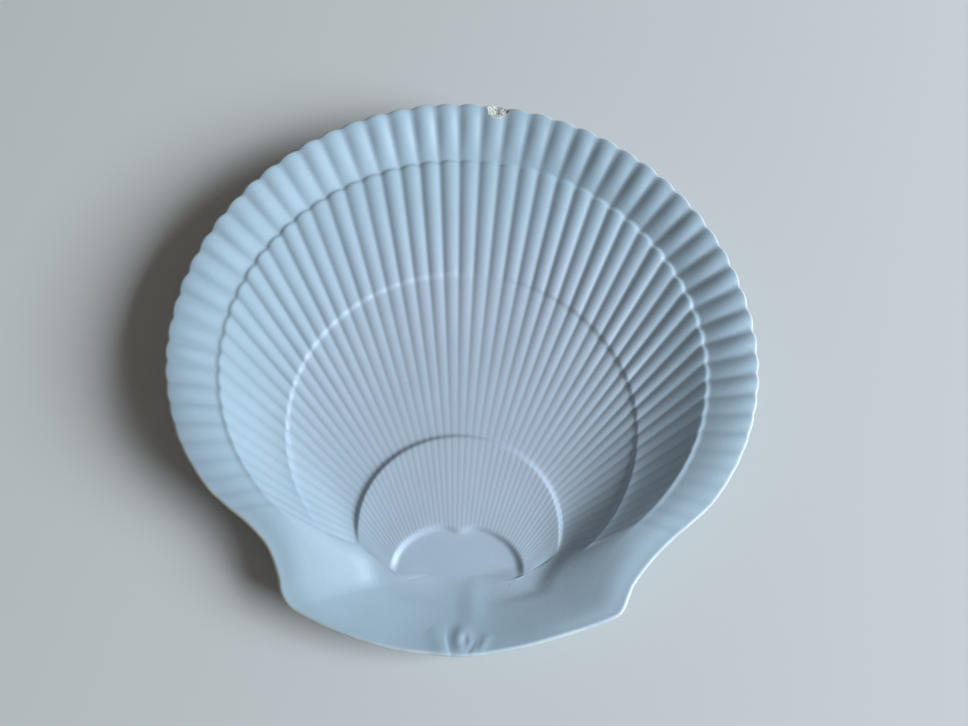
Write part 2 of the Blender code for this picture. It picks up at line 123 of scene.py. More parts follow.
# The lip falls gently from the far end, then round the ears down to the hinge
HINGE_LIP_HEIGHT = 0.0200
EAR_RISE = 0.0120
EAR_RISE_SPAN = (-0.1350, -0.0450)
LIP_SLOPE = 0.0136

# The hinge rises from the floor to the lip: as a hollow along its middle, and beside the
# fan by a profile of the share of the way and the share of the height
HINGE_HOLLOW = 0.45
HINGE_START = 0.5
MARGIN_PROFILE = (
    (0.00, 0.00),
    (0.18, 0.105),
    (0.39, 0.150),
    (0.54, 0.50),
    (0.84, 0.98),
    (1.00, 1.00),
)
MARGIN_BLEND = 0.90

# A low swelling in that profile: its height, its middle and width as shares of the way,
# and the shares of the hinge where it grows and where it fades
MARGIN_LIFT = 0.0004
MARGIN_LIFT_PART = (0.33, 0.13)
MARGIN_LIFT_START = (0.0, 0.12)
MARGIN_LIFT_FADE = (0.2, 0.7)

# The fan starts to give way to the hinge at this angle before its end. Past its end the
# way is counted in units of the second value, a share of the hinge, and the fan has given
# way after this many of them
STEP_BLEND = (math.radians(20), 0.18)
STEP_BLEND_END = 0.5

# Rib heights
BAND_RIB = 0.00009
FIELD_RIB = 0.00078
FIELD_RIB_POWER = 1.6
WALL_INNER_RIB = 0.00095
WALL_OUTER_RIB = 0.00145
LIP_RIB = 0.00120
RIM_RIB = 0.00110
RIM_SWELL = 0.00080

# The ribs fade between two angles, down to a share of their height
RIM_RIB_FADE = (math.radians(80), math.radians(126), 0.10)
WELL_RIB_FADE = (math.radians(62), math.radians(130), 0.0)
BAND_RIB_FADE = (math.radians(100), math.radians(132), 0.0)

# The ribs vary in height by up to this share, in a wave that drifts from rib to rib
RIB_UNEVEN = 0.12
UNEVEN_RATE = 2.4
UNEVEN_DRIFT = 1.3
UNEVEN_DRIFT_RATE = 1.7

# The growth lines by number, and how wide the step of each is, with the largest share of
# the way to the next line that a step may take, and how far glaze softens them
UMBO, BAND, WELL, RIM, LIP = 1, 2, 3, 4, 5
UMBO_STEP = 0.0024
BAND_STEP = 0.0018
WELL_STEP = 0.0018
RIM_STEP = 0.0018
STEP_SHARE = 0.4
SOFTENING = 0.0007

# A bead on the line round the floor, near the ends of the fan: its height, how far it
# takes to rise and to decline, the angles where it starts and the shares of the hinge
# where it ends
WELL_BEAD = 0.00080
WELL_BEAD_WIDTH = (0.0014, 0.0140)
WELL_BEAD_START = (math.radians(88), math.radians(112))
WELL_BEAD_END = (0.0, 0.06)

# Stations of the upper face: how far the close ones reach on both sides of a growth line,
# and how many plain ones lead up to them
FIRST_STATION = 0.1
CLOSE_REACH = {
    UMBO: (-0.0040, 0.0016),
    BAND: (-0.0034, 0.0016),
    WELL: (-0.0016, 0.0034),
    RIM: (-0.0016, 0.0034),
}
CLOSE_COUNT = 10
PLAIN_COUNT = {UMBO: 6, BAND: 9, WELL: 20, RIM: 14, LIP: 14}

WALL_THICKNESS = 0.0045
LIP_RADIUS = 0.0019
LIP_ROLL_STEPS = 10

FOOT_CENTRE_Y = -0.0360
FOOT_HALF_WIDTH = 0.0640
FOOT_HALF_LENGTH = 0.0820
FOOT_FACE_WIDTH = 0.0050
FOOT_DRAFT = 0.0015

# Rings of the underside: stations from the lip in to the foot, and shares of the way from
# the middle to the foot. They use every second spoke
UNDER_STATIONS = (4.75, 4.5, 4.25, 4.0, 3.75, 3.5)
FOOT_HOLLOW_SHARES = (0.75, 0.5, 0.25)
UNDER_STRIDE = 2
OVAL_HALVINGS = 40

# Bud, leaves and ridge at the hinge. A profile is the share of the height at the start,
# the middle and the end
LEAVES = (((-0.0042, -0.1465), (-0.0068, -0.1415), (-0.0120, -0.1352)),
          ((0.0085, -0.1462), (0.0125, -0.1425), (0.0170, -0.1366)))
LEAF_WIDTH = (0.0042, 0.0022)
LEAF_RISE = (0.0007, 0.0007)
LEAF_PROFILE = (1.0, 1.2, 0.0)
GROOVES = (((0.0005, -0.1467), (-0.0050, -0.1396), (-0.0001, -0.1341)),
           ((0.0098, -0.1462), (0.0115, -0.1425), (0.0132, -0.1381)))
GROOVE_WIDTH = 0.0014
GROOVE_DEPTH = (0.0009, 0.0003)
BUD_CENTRE = (0.0034, -0.1402)
BUD_SIZE = (0.0044, 0.0058)
BUD_RISE = 0.0012
BUD_POWER = 3.0
BUD_FADE = (0.0004, 0.0036)
DIMPLE_CENTRE = (0.0049, -0.1401)
DIMPLE_SIZE = (0.0019, 0.0028)
DIMPLE_DEPTH = 0.0009
DIMPLE_POWER = 2.0
RIDGE_ENDS = ((0.0078, -0.1110), (0.0078, -0.1345))
RIDGE_WIDTH = 0.0058
RIDGE_RISE = 0.0007
RIDGE_PROFILE = (0.0, 1.5, 0.3)
RIDGE_SAMPLES = 41

# Chip: a lump of this size bites into the lip, a little above it. Its roughness is the
# scale, the share and the offset of each of two noises
CHIP_PLACE = (0.0128, 0.1402)
CHIP_SIZE = (0.0068, 0.0062, 0.0026)
CHIP_LIFT = 0.2
CHIP_SUBDIVISIONS = 5
CHIP_ROUGHNESS = ((2.2, 0.30, (3.0, 1.0, 5.0)), (7.0, 0.10, (0.0, 0.0, 0.0)))

# Colours
GLAZE_RIM = (0.385, 0.502, 0.595)
GLAZE_CENTRE = (0.440, 0.508, 0.605)
# Darker glaze in the rib valleys: pooled glaze and painted shade
GLAZE_POOLED_AND_SHADED = (0.300, 0.385, 0.460)
PINHOLE = (0.08, 0.08, 0.08)
# The pale lip line is a painted highlight where light catches the lip
LIP_PAINTED_HIGHLIGHT = (0.66, 0.70, 0.72)
WORN_CLAY = (0.55, 0.50, 0.38)
BARE_CLAY = (0.62, 0.55, 0.44)
CHIP_PALE = (0.62, 0.64, 0.60)
CHIP_DARK = (0.24, 0.25, 0.25)

# Where the line on the roll of the lip is strongest, counted from its crest, and over what
# spread. On the left it is worn clay, elsewhere a painted highlight where light catches the lip
WEAR_AND_HIGHLIGHT_MIDDLE = math.radians(48)
WEAR_AND_HIGHLIGHT_SPREAD = math.radians(38)

# Glaze. A pattern is the scale and the detail of a noise, and stops are places on a ramp
# with the value there
GLAZE_SHIFT = (-0.012, 0.012, 0.0)
GLAZE_SPAN = (0.085, 0.150)
CLOUD_PATTERN = (14.0, 3.0)
CLOUD_REACH = 0.05
TONE_PATTERN = (38.0, 4.0)
TONE_STOPS = ((0.35, 0.955), (0.65, 1.0))
# How the darkening of the rib valleys, pooled glaze and painted shade, grows over these shares
# of the stations from the middle out, and its greatest share
POOL_AND_SHADE_START = (0.1, 0.5)
POOL_AND_SHADE_SHARE = 0.5
PINHOLE_CELLS = 75.0
PINHOLE_STOPS = ((0.018, 1.0), (0.040, 0.0))
PINHOLE_CHANCE = ((0.86, 0.0), (0.90, 0.75))
# Patches in the lip line, which is worn clay on the left and a painted highlight elsewhere
WEAR_AND_HIGHLIGHT_PATTERN = (120.0, 3.0)
WEAR_AND_HIGHLIGHT_STOPS = ((0.30, 0.45), (0.60, 1.0))
# Far to the left the lip line is tan worn clay; elsewhere it is the pale painted highlight
CLAY_SIDE_SCALE = -10.0
CLAY_SIDE_STOPS = ((0.45, 0.0), (0.80, 1.0))
BARE_STOPS = ((0.45, 0.0), (0.60, 1.0))
GLOSS_PATTERN = (55.0, 3.0)
GLOSS_STOPS = ((0.30, 0.40), (0.70, 0.50))
WORN_ROUGHNESS = (0.80, 0.80, 0.80)
FINE_PATTERN = (420.0, 2.0)
COARSE_PATTERN = (95.0, 2.0)
GLAZE_BUMP = (0.0002, 0.22)

# Clay in the chip
GRAIN_PATTERN = (900.0, 4.0)
GRAIN_SPAN = (0.34, 0.52)
GRAIN_ROUGHNESS = ((0.3, 0.95), (0.7, 0.80))
GRAIN_BUMP = (0.0008, 0.9)

# Blender's Mix node has these sockets for the factor, the two colours and the result
MIX_INPUTS = (0, 6, 7)
MIX_OUTPUT = 2

# The window is the one lamp, the world adds a warm fill, and what the camera, gloss and
# glass see of the world is pale grey
WINDOW_SIZE = (2.6, 1.8)
WINDOW_POWER = 268.0
WINDOW_COLOUR = (0.81, 0.92, 1.0)
WINDOW_AZIMUTH = math.radians(101)
WINDOW_ELEVATION = math.radians(31)
WINDOW_DISTANCE = 4.0
FILL_COLOUR = (1.0, 0.92, 0.82)
FILL_STRENGTH = 0.13
BACKGROUND = (0.62, 0.63, 0.64)

# The floor lies a hair below the foot
FLOOR_SIZE = 3.0
FLOOR_DROP = 0.0001
FLOOR_GREY = 0.62
FLOOR_ROUGHNESS = 0.9

# The camera as it stood over the table
IMAGE = (968.0, 726.0)
FOCAL_PIXELS = 727.0
CAMERA_PLACE = (-0.0014, -0.1225, 0.3819)
PLUMB_PIXEL = (453.2, 600.0)
CAMERA_TURN = math.radians(1.71)
SENSOR_WIDTH = 36.0
CLIP_SPAN = (0.01, 50.0)

# What lies below these is only rounding
ROUNDING = 1e-9
LEAST_SPREAD = 1e-12


def smooth_step(values, start, end):
    part = np.clip((values - start) / (end - start), 0.0, 1.0)
    return part * part * (3.0 - 2.0 * part)


def rib_angle(number):
    return FIRST_VALLEY_ANGLE + RIB_PITCH * number * (1.0 - RIB_CROWDING * number * number)


def hump(part):
    """0 at both ends and 1 halfway."""
    return 4.0 * part * (1.0 - part)


def late_hump(part):
    """0 at both ends and 1 two thirds of the way."""
    return 6.75 * part * part * (1.0 - part)


def rib_shape(phase):
    """A convex rib with a narrow rounded valley, 0 to 1."""
    rise = hump(phase)
    r = VALLEY_ROUNDING
    return (np.sqrt(rise * rise + r * r) - r) / (math.sqrt(1.0 + r * r) - r)


class Spokes:
    """The places round a ring where every section has its points."""

    def __init__(self, samples_per_rib, hinge_steps, crowding=0.0):
        rib_count = RIBS_LEFT + RIBS_RIGHT
        self.number = np.arange(rib_count * samples_per_rib + 1) / samples_per_rib - RIBS_LEFT
        even = np.arange(1, 2 * hinge_steps) / hinge_steps - 1.0
        warped = even * (1.0 - crowding) + even**3 * crowding
        hinge = 0.5 + 0.5 * warped
        self.fan_count = len(self.number)
        self.hinge = np.concatenate([np.zeros(self.fan_count), hinge])
        right, left = rib_angle(RIBS_RIGHT), rib_angle(-RIBS_LEFT)
        nearest_end = np.where(hinge < 0.5, right, left)
        self.angle = np.concatenate([rib_angle(self.number), nearest_end])
        phase = self.number - np.floor(self.number)
        self.rib = np.concatenate([rib_shape(phase), np.zeros(len(hinge))])
        self.from_end = np.minimum(self.hinge, 1.0 - self.hinge) * 2.0
        before_end = np.minimum(right - self.angle, self.angle - left)
        self.past_margin = smooth_step(self.from_end, 0.0, MARGIN_BLEND)
        near_end = self.from_end / STEP_BLEND[1] - before_end / STEP_BLEND[0]
        self.past_steps = smooth_step(near_end, -1.0, STEP_BLEND_END)
        self.count = len(self.angle)
        rib_number = np.concatenate([np.floor(self.number), np.zeros(len(hinge))])
        drift = UNEVEN_DRIFT * np.sin(rib_number * UNEVEN_DRIFT_RATE)
        self.strength = 1.0 + RIB_UNEVEN * np.sin(rib_number * UNEVEN_RATE + drift)


def egg(centre_y, half_width, far, near, angle):
    reach = np.where(np.cos(angle) > 0.0, far, near)
    return np.stack([half_width * np.sin(angle), centre_y + reach * np.cos(angle)], axis=-1)


def smooth_curve(points):
    """A Catmull-Rom curve through the points."""
    points = np.asarray(points)
    padded = np.vstack([2 * points[0] - points[1], points, 2 * points[-1] - points[-2]])
    place = np.arange((len(points) - 1) * CURVE_STEPS + 1) / CURVE_STEPS
    start = np.minimum(place.astype(int), len(points) - 2)
    part = (place - start)[:, None]
    a, b, c, d = (padded[start + step] for step in range(4))
    return 0.5 * (
        2 * b + (c - a) * part + (2 * a - 5 * b + 4 * c - d) * part**2
        + (3 * b - a - 3 * c + d) * part**3
    )


def lengths_along(curve):
    steps = np.linalg.norm(np.diff(curve, axis=0), axis=1)
    return np.concatenate([[0.0], np.cumsum(steps)])


def along_curve(curve, distance):
    """Points at distances along a curve, counted from its start."""
    length = lengths_along(curve)
    distance = np.clip(distance, 0.0, length[-1])
    return np.column_stack([np.interp(distance, length, curve[:, axis]) for axis in (0, 1)])


def inset(ring, distance):
    along = np.roll(ring, -1, axis=0) - np.roll(ring, 1, axis=0)
    along /= np.linalg.norm(along, axis=1)[:, None]
    inwards = np.stack([along[:, 1], -along[:, 0]], axis=-1)
    return ring + inwards * np.reshape(distance, (-1, 1))


def faded(fade, angle):
    start, end, least = fade
    return 1.0 - (1.0 - least) * smooth_step(np.abs(angle), start, end)


def hinge_curve(side, points):
    """The edge from the end of the egg to the middle of the hinge. It is drawn a stretch
    past both, so that it runs on smoothly there, and then cut."""
    lead = FAN_OUTLINE_END + np.array([-CURVE_LEAD, 0.0])
    start = egg(FAN_CENTRE_Y, side * FAN_HALF_WIDTH, FAN_REACH_FAR, FAN_REACH_NEAR, lead)
    over = np.array([-side * points[-1][0], points[-1][1]])
    curve = smooth_curve(np.vstack([start, points, [HINGE_MIDDLE, over]]))
    return curve[CURVE_STEPS:-CURVE_STEPS]


def outline(spokes):
    """The edge of the platter: scalloped round the fan, plain round the hinge."""
    ring = egg(FAN_CENTRE_Y, FAN_HALF_WIDTH, FAN_REACH_FAR, FAN_REACH_NEAR, spokes.angle)
    speed = math.hypot(FAN_HALF_WIDTH * math.cos(FAN_OUTLINE_END),
                       FAN_REACH_NEAR * math.sin(FAN_OUTLINE_END))
    beyond = np.abs(spokes.angle) - FAN_OUTLINE_END
    for side, points, ribs in ((1.0, HINGE_RIGHT, RIBS_RIGHT), (-1.0, HINGE_LEFT, -RIBS_LEFT)):
        curve = hinge_curve(side, points)
        this_side = spokes.angle * side > 0.0
        fan = (beyond > 0.0) & this_side & (spokes.hinge == 0.0)
        ring[fan] = along_curve(curve, beyond[fan] * speed)
        start = (side * rib_angle(ribs) - FAN_OUTLINE_END) * speed
        rest = lengths_along(curve)[-1] - start
        here = (spokes.hinge > 0.0) & this_side
        ring[here] = along_curve(curve, start + rest * spokes.from_end[here])
    bulge = RIB_SCALLOP * spokes.rib * faded(RIM_RIB_FADE, spokes.angle)
    return inset(ring, -bulge)


def growth_line(spokes, line, centre, lip):
    """A growth line: an egg round the fan, closed along the spokes of the hinge."""
    half_width, centre_y, far, near, sweep, closing_y = line
    ring = egg(centre_y, half_width, far, near, spokes.angle * sweep)
    middle_share = (closing_y - centre[1]) / (HINGE_MIDDLE[1] - centre[1])
    for end, side in ((spokes.fan_count - 1, 1.0), (0, -1.0)):
        to_lip = lip[end] - centre
        end_share = np.dot(ring[end] - centre, to_lip) / np.dot(to_lip, to_lip)
        aside = ring[end] - centre - to_lip * end_share
        here = (spokes.hinge > 0.0) & (spokes.angle * side > 0.0)
        past = spokes.from_end[here]
        share = end_share + (middle_share - end_share) * smooth_step(past, 0.0, 1.0)
        aside = aside * (1.0 - smooth_step(past, 0.0, CLOSING_BLEND))[:, None]
        ring[here] = centre + (lip[here] - centre) * share[:, None] + aside
    return ring


def key_rings(spokes):
    edge = outline(spokes)
    lip = inset(edge, LIP_RADIUS)
    centre = np.array([0.0, UMBO_LINE[1]])
    umbo, band, well, rim = (growth_line(spokes, line, centre, lip)
                             for line in (UMBO_LINE, BAND_LINE, WELL_LINE, RIM_LINE))
    rim = inset(rim, -RIB_SCALLOP * spokes.rib * faded(RIM_RIB_FADE, spokes.angle))
    notch = UMBO_NOTCH * np.exp(-(umbo[:, 0] / UMBO_NOTCH_WIDTH) ** 2)
    umbo[:, 1] -= notch * (umbo[:, 1] > UMBO_LINE[1])
    middle = np.tile(centre, (spokes.count, 1))
    return edge, np.array([middle, umbo, band, well, rim, lip])


def lip_height(y):
    ears = EAR_RISE * smooth_step(y, *EAR_RISE_SPAN)
    return HINGE_LIP_HEIGHT + ears + LIP_SLOPE * (y - HINGE_MIDDLE[1])


class Dish:
    """Height and plan of the upper face at any station of any spoke."""

    def __init__(self, spokes):
        self.spokes = spokes
        self.edge, self.keys = key_rings(spokes)
        self.lip = lip_height(self.edge[:, 1])
        side = 0.5 - 0.5 * np.cos(np.minimum(np.abs(spokes.angle) / SIDE_ANGLE, 1.0) * math.pi)
        level = np.ones(spokes.count)

        def between(pair):
            return pair[0] + (pair[1] - pair[0]) * side

        rim_fade = faded(RIM_RIB_FADE, spokes.angle)
        well_fade = faded(WELL_RIB_FADE, spokes.angle)
        band_fade = faded(BAND_RIB_FADE, spokes.angle)
        rim_inner = self.lip - between(RIM_RISE)
        self.gap = np.linalg.norm(np.diff(self.keys, axis=0), axis=2)
        floor = FLOOR_HEIGHT * level
        flat = 0.0 * level
        well = between(FIELD_OUTER_HEIGHT)
        wall_inner = well + between(WELL_STEP_RISE)
        field_fade = faded(FIELD_END_FADE, spokes.angle)
        field_inner = FIELD_INNER_HEIGHT + FIELD_END_LIFT * (1.0 - field_fade)
        field_hollow = FIELD_END_HOLLOW + (between(FIELD_HOLLOW) - FIELD_END_HOLLOW) * field_fade
        self.bulge = between(RIM_BULGE)
        self.swell = RIM_SWELL * rim_fade * spokes.strength * spokes.rib
        # Each knot: its station, the height there, the rib on it, and the power of the
        # curve from it to the next knot
        self.knots = (
            (flat, floor, flat, 1.0),
            (self.beside(UMBO, -UMBO_STEP), floor, flat, 1.0),
            (UMBO * level, BAND_INNER_HEIGHT * level, 0.5 * BAND_RIB * band_fade,
             BAND_HOLLOW),
            (self.beside(BAND, -BAND_STEP), BAND_OUTER_HEIGHT * level, BAND_RIB * band_fade,
             1.0),
            (BAND * level, field_inner, BAND_RIB * band_fade, field_hollow),
            (WELL * level, well, FIELD_RIB * well_fade, 1.0),
            (self.beside(WELL, WELL_STEP), wall_inner, WALL_INNER_RIB * well_fade,
             between(WALL_HOLLOW)),
            (RIM * level, rim_inner + RIM_STEP_DROP, WALL_OUTER_RIB * well_fade, 1.0),
            (self.beside(RIM, RIM_STEP), rim_inner, RIM_RIB * rim_fade, 1.0),
            (LIP * level, self.lip, LIP_RIB * rim_fade, 1.0),
        )

    def beside(self, line, offset):
        """Stations that lie at a distance outside a growth line, or inside it if below 0."""
        gap = self.gap[line] if offset > 0.0 else self.gap[line - 1]
        return line + np.clip(offset / gap, -STEP_SHARE, STEP_SHARE)

    def plan(self, station):
        station = np.broadcast_to(station, self.spokes.count)
        low = np.minimum(station.astype(int), len(self.keys) - 2)
        part = (station - low)[:, None]
        spoke = np.arange(self.spokes.count)
        return self.keys[low, spoke] * (1.0 - part) + self.keys[low + 1, spoke] * part

    def fan_height(self, station):
        fan = np.zeros(self.spokes.count)
        for (low, low_height, low_rib, power), (high, high_height, high_rib, _) in zip(
                self.knots, self.knots[1:]):
            part = np.clip((station - low) / (high - low), 0.0, 1.0)
            here = (station >= low) & (station <= high + ROUNDING)
            height = low_height + (high_height - low_height) * part ** power
            grown = part ** np.where(low == BAND, FIELD_RIB_POWER, 1.0)
            rib = (low_rib + (high_rib - low_rib) * grown) * self.spokes.strength
            fan = np.where(here, height + rib * self.spokes.rib, fan)
        past = np.clip(station - RIM, 0.0, 1.0)
        return fan + self.bulge * hump(past) + self.swell * late_hump(past)

    def hinge_height(self, station):
        start = self.keys[0] + (self.keys[1] - self.keys[0]) * HINGE_START
        along = np.linalg.norm(self.plan(station) - start, axis=1)
        reach = np.linalg.norm(self.keys[-1] - start, axis=1)
        part = np.where(station > HINGE_START, np.clip(along / reach, 0.0, 1.0), 0.0)
        margin = np.interp(part, *smooth_curve(MARGIN_PROFILE).T)
        depth = math.hypot(1.0, HINGE_HOLLOW) - HINGE_HOLLOW
        hollow = (np.hypot(part, HINGE_HOLLOW) - HINGE_HOLLOW) / depth
        share = margin + (hollow - margin) * self.spokes.past_margin
        from_end = self.spokes.from_end
        grown = smooth_step(from_end, *MARGIN_LIFT_START)
        left = 1.0 - smooth_step(from_end, *MARGIN_LIFT_FADE)
        middle, width = MARGIN_LIFT_PART
        lift = MARGIN_LIFT * grown * left * np.exp(-((part - middle) / width) ** 2)
        return FLOOR_HEIGHT + (self.lip - FLOOR_HEIGHT) * share + lift

    def bead_height(self, station):
        away = (station - WELL) * np.where(station > WELL, self.gap[WELL], self.gap[WELL - 1])
        grown = smooth_step(np.abs(self.spokes.angle), *WELL_BEAD_START)
        left = 1.0 - smooth_step(self.spokes.from_end, *WELL_BEAD_END)
        rise, decline = WELL_BEAD_WIDTH
        bead = WELL_BEAD * grown * left * smooth_step(away, -rise, rise)
        return bead * np.exp(-np.maximum(away, 0.0) / decline)

    def height(self, station):
        station = np.broadcast_to(station, self.spokes.count)
        fan = self.fan_height(station)
        hinge = self.hinge_height(station)
        return fan + (hinge - fan) * self.spokes.past_steps + self.bead_height(station)

    def ring(self, station):
        return np.column_stack([self.plan(station), self.height(station)])

    def station_on_oval(self, half_width, half_length):
        """The station at which each spoke crosses an oval round the foot's centre."""
        low = np.zeros(self.spokes.count)
        high = np.full(self.spokes.count, LIP)
        for _ in range(OVAL_HALVINGS):
            middle = (low + high) / 2.0
            x, y = self.plan(middle).T
            outside = (x / half_width) ** 2 + ((y - FOOT_CENTRE_Y) / half_length) ** 2 > 1.0
            high = np.where(outside, middle, high)
            low = np.where(outside, low, middle)
        return (low + high) / 2.0


def top_stations(dish):
    """Stations of the upper face, close together where the growth lines step."""
    stations = []
    start = np.full(dish.spokes.count, FIRST_STATION)
    for line, reach in CLOSE_REACH.items():
        inside, outside = (dish.beside(line, offset) for offset in reach)
        stations += list(np.linspace(start, inside, PLAIN_COUNT[line], endpoint=False))
        stations += list(np.linspace(inside, outside, CLOSE_COUNT, endpoint=False))
        start = outside
    lip = np.full(dish.spokes.count, float(LIP))
    return stations + list(np.linspace(start, lip, PLAIN_COUNT[LIP]))


def ridge_along(x, y, points, width, height, profile):
    """A rounded ridge along a line bent towards its middle point. The profile gives the
    share of the height at its start, middle and end."""
    start, bend, end = (np.array(point) for point in points)
    rises = [height * share for share in profile]
    best = np.full(x.shape, np.inf)
    share = np.zeros(x.shape)
    for part in np.linspace(0.0, 1.0, RIDGE_SAMPLES):
        centre = (1 - part)**2 * start + 2 * part * (1 - part) * bend + part**2 * end
        gap = np.hypot(x - centre[0], y - centre[1])
        share = np.where(gap < best, part, share)
        best = np.minimum(best, gap)
    rise = (1 - share)**2 * rises[0] + 2 * share * (1 - share) * rises[1] + share**2 * rises[2]
    return rise * np.exp(-(best / width) ** 2)


def mound(x, y, centre, size, power):
    out = np.hypot((x - centre[0]) / size[0], (y - centre[1]) / size[1])
    return np.exp(-(out ** power))


def relief(x, y):
    """Height of the bud, its two leaves and the ridge above them."""
    rise = np.zeros(x.shape)
    for points, width, height in zip(LEAVES, LEAF_WIDTH, LEAF_RISE):
        rise += ridge_along(x, y, points, width, height, LEAF_PROFILE)
    for points, depth in zip(GROOVES, GROOVE_DEPTH):
        rise -= ridge_along(x, y, points, GROOVE_WIDTH, depth, LEAF_PROFILE)
    bud = BUD_RISE * mound(x, y, BUD_CENTRE, BUD_SIZE, BUD_POWER)
    dimple = DIMPLE_DEPTH * mound(x, y, DIMPLE_CENTRE, DIMPLE_SIZE, DIMPLE_POWER)
    rise = np.maximum(rise, bud) - dimple
    rise *= smooth_step(y - HINGE_MIDDLE[1], *BUD_FADE)
    inner, outer = (np.array(end) for end in RIDGE_ENDS)
    ridge = (inner, (inner + outer) / 2.0, outer)
    return rise + ridge_along(x, y, ridge, RIDGE_WIDTH, RIDGE_RISE, RIDGE_PROFILE)


def softened(rings):
    """Round off every corner of the sections, as glaze does: the height at each point is
    that of the straight line which fits its neighbours along the spoke best."""
    rings = np.array(rings)
    steps = np.linalg.norm(np.diff(rings[:, :, :2], axis=0), axis=2)
    place = np.vstack([np.zeros(steps.shape[1]), np.cumsum(steps, axis=0)])
    share = np.gradient(place, axis=0)
    height = rings[:, :, 2].copy()
    for index in range(len(rings)):
        gap = place - place[index]
        weight = np.exp(-0.5 * (gap / SOFTENING) ** 2) * share
        s0, s1, s2 = weight.sum(0), (weight * gap).sum(0), (weight * gap * gap).sum(0)
        t0, t1 = (weight * height).sum(0), (weight * gap * height).sum(0)
        spread = s0 * s2 - s1 * s1
        exact = spread > LEAST_SPREAD * s0 * s0
        fitted = (s2 * t0 - s1 * t1) / np.where(exact, spread, 1.0)
        rings[index, :, 2] = np.where(exact, fitted, height[index])
    return list(rings)


def bridge(bm, outer, inner):
    """Faces between two rings, of which the inner may have half as many points."""
    ratio = len(outer) // len(inner)
    for index in range(len(inner)):
        after = (index + 1) % len(inner)
        run = [outer[(index * ratio + step) % len(outer)] for step in range(ratio + 1)]
        if ratio == 1:
            bm.faces.new((run[0], run[1], inner[after], inner[index]))
            continue
        bm.faces.new((run[0], run[1], inner[index]))
        bm.faces.new((run[1], inner[after], inner[index]))
        bm.faces.new((run[1], run[2], inner[after]))


def marked(dish, wear_and_highlight=0.0, bare=0.0, pooled_and_shaded=0.0):
    """What the glaze reads round a ring: its lip line of wear and painted highlight, how bare it
    is, and how far pooled glaze and painted shade darken it.
    """
    marks = (wear_and_highlight, bare, pooled_and_shaded)
    return np.column_stack([np.broadcast_to(mark, dish.spokes.count) for mark in marks])


def upper_face(dish, valley):
    rings = softened([dish.ring(station) for station in top_stations(dish)])
    marks = []
    for index, ring in enumerate(rings):
        ring[:, 2] += relief(ring[:, 0], ring[:, 1])
        # The rib valleys are darkened, pooled glaze and painted shade, more towards the rim
        deep = smooth_step(index / len(rings), *POOL_AND_SHADE_START)
        marks.append(marked(dish, pooled_and_shaded=valley * deep))
    return list(zip(rings, marks))


def rolled_lip(dish, valley, crest):
    rings = []
    for step in range(1, LIP_ROLL_STEPS + 1):
        turn = math.pi * step / LIP_ROLL_STEPS
        inward = LIP_RADIUS * (1.0 - math.sin(turn))
        drop = (WALL_THICKNESS / 2.0) * (1.0 - math.cos(turn))
        ring = np.column_stack([inset(dish.edge, inward), crest - drop])
        # The lip line on the outer part of the roll: worn clay on the left, a painted highlight
        # elsewhere
        wear_and_highlight = math.exp(-((turn - WEAR_AND_HIGHLIGHT_MIDDLE) / WEAR_AND_HIGHLIGHT_SPREAD) ** 2)
        rings.append((ring, marked(dish, wear_and_highlight=wear_and_highlight, pooled_and_shaded=valley)))
    return rings


def underside(dish):
    """Rings from the lip in to the middle, with the foot among them."""
    wall = [0.0, 0.0, WALL_THICKNESS]
    rings = [(dish.ring(station) - wall, marked(dish)) for station in UNDER_STATIONS]
    half_face = FOOT_FACE_WIDTH / 2.0
    for grow, on_table in ((half_face + FOOT_DRAFT, False), (half_face, True),
                           (-half_face, True), (-half_face - FOOT_DRAFT, False)):
        station = dish.station_on_oval(FOOT_HALF_WIDTH + grow, FOOT_HALF_LENGTH + grow)
        ring = dish.ring(station) - wall
        if on_table:
            ring[:, 2] = 0.0
        rings.append((ring, marked(dish, bare=float(on_table))))
    foot_inside = station
    for share in FOOT_HOLLOW_SHARES:
        ring = dish.ring(foot_inside * share)
        ring[:, 2] = FLOOR_HEIGHT - WALL_THICKNESS
        rings.append((ring, marked(dish)))
    return [(ring[::UNDER_STRIDE], marks[::UNDER_STRIDE]) for ring, marks in rings]


def dish_mesh(dish):
    # The valleys of the ribs, which get the pooled glaze and painted shade
    valley = (1.0 - dish.spokes.rib) * (dish.spokes.hinge == 0.0)
    rings = upper_face(dish, valley)
    rings += rolled_lip(dish, valley, rings[-1][0][:, 2])
    rings += underside(dish)
    bm = bmesh.new()
    loops = [[bm.verts.new(point) for point in ring] for ring, _ in rings]
    for loop, next_loop in zip(loops, loops[1:]):
        bridge(bm, loop, next_loop)
    centre = dish.keys[0][0]
    for loop, height in ((loops[0], FLOOR_HEIGHT), (loops[-1], FLOOR_HEIGHT - WALL_THICKNESS)):
        tip = bm.verts.new((*centre, height))
        for vert, after in zip(loop, loop[1:] + loop[:1]):
            bm.faces.new((vert, after, tip))
    bmesh.ops.recalc_face_normals(bm, faces=bm.faces)
    mesh = bpy.data.meshes.new("shell")
    bm.to_mesh(mesh)
    bm.free()
    marks = np.vstack([marks for _, marks in rings] + [np.zeros((2, 3))])
    layer = mesh.color_attributes.new("marks", "FLOAT_COLOR", "POINT")
    layer.data.foreach_set("color", np.column_stack([marks, np.ones(len(marks))]).ravel())
    return mesh


def with_alpha(colour):
    return (*colour, 1.0) if isinstance(colour, tuple) else (colour, colour, colour, 1.0)


